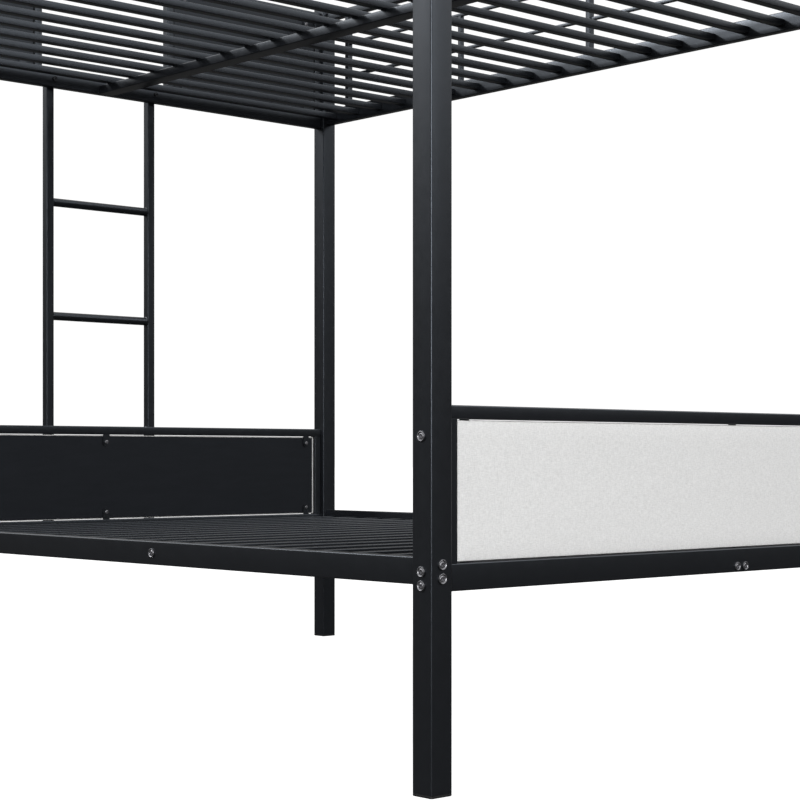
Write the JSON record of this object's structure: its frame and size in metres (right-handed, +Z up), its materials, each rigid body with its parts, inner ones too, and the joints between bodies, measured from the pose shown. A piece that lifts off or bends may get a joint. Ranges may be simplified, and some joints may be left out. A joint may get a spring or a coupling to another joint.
{
  "type": "bunk bed with ladder",
  "caption": "Steel bunk bed: full-width slatted decks one above the other on square posts, with guard rails, padded end panels and a fixed ladder at one end.",
  "frame": {"origin": "on the floor, under the middle of the bed's overall box", "axes": "+X along the bed, away from the ladder end; +Y across it, from the front side to the back side; +Z up"},
  "size_m": [1.9946, 1.4396, 1.7],
  "materials": {
    "steel_tube": "black powder coat, satin",
    "bolt_steel": "dark plated steel, slightly polished",
    "plastic_cap": "black matt plastic",
    "panel_cloth": "light grey linen weave",
    "panel_board": "black board, matt"
  },
  "bodies": {
    "root": {"board_lower_head": "panel_board", "board_lower_ladder": "panel_board", "board_upper_head": "panel_board", "board_upper_ladder_back": "panel_board", "board_upper_ladder_front": "panel_board", "end_bolts_lower_head_back": "bolt_steel", "end_bolts_lower_head_front": "bolt_steel", "end_bolts_lower_ladder_back": "bolt_steel", "end_bolts_lower_ladder_front": "bolt_steel", "end_bolts_upper_head_back": "bolt_steel", "end_bolts_upper_head_front": "bolt_steel", "end_bolts_upper_ladder_back": "bolt_steel", "end_bolts_upper_ladder_front": "bolt_steel", "end_frame_lower_head": "steel_tube", "end_frame_lower_ladder": "steel_tube", "end_frame_upper_head": "steel_tube", "end_frame_upper_ladder": "steel_tube", "foot_cap_head_back": "plastic_cap", "foot_cap_head_front": "plastic_cap", "foot_cap_ladder_back": "plastic_cap", "foot_cap_ladder_front": "plastic_cap", "guard_rail_back": "steel_tube", "guard_rail_front": "steel_tube", "ladder": "steel_tube", "ladder_bolt_lower_back": "bolt_steel", "ladder_bolt_lower_front": "bolt_steel", "ladder_bolt_upper_back": "bolt_steel", "ladder_bolt_upper_front": "bolt_steel", "panel_lower_head": "panel_cloth", "panel_lower_ladder": "panel_cloth", "panel_upper_head": "panel_cloth", "panel_upper_ladder_back": "panel_cloth", "panel_upper_ladder_front": "panel_cloth", "post_head_back": "steel_tube", "post_head_front": "steel_tube", "post_ladder_back": "steel_tube", "post_ladder_front": "steel_tube", "side_bolts_lower_head_back": "bolt_steel", "side_bolts_lower_head_front": "bolt_steel", "side_bolts_lower_ladder_back": "bolt_steel", "side_bolts_lower_ladder_front": "bolt_steel", "side_bolts_upper_head_back": "bolt_steel", "side_bolts_upper_head_front": "bolt_steel", "side_bolts_upper_ladder_back": "bolt_steel", "side_bolts_upper_ladder_front": "bolt_steel", "side_rail_lower_back": "steel_tube", "side_rail_lower_front": "steel_tube", "side_rail_upper_back": "steel_tube", "side_rail_upper_front": "steel_tube", "slat_deck_lower": "steel_tube", "slat_deck_upper": "steel_tube", "top_cap_head_back": "plastic_cap", "top_cap_head_front": "plastic_cap", "top_cap_ladder_back": "plastic_cap", "top_cap_ladder_front": "plastic_cap"}
  },
  "joints": []
}
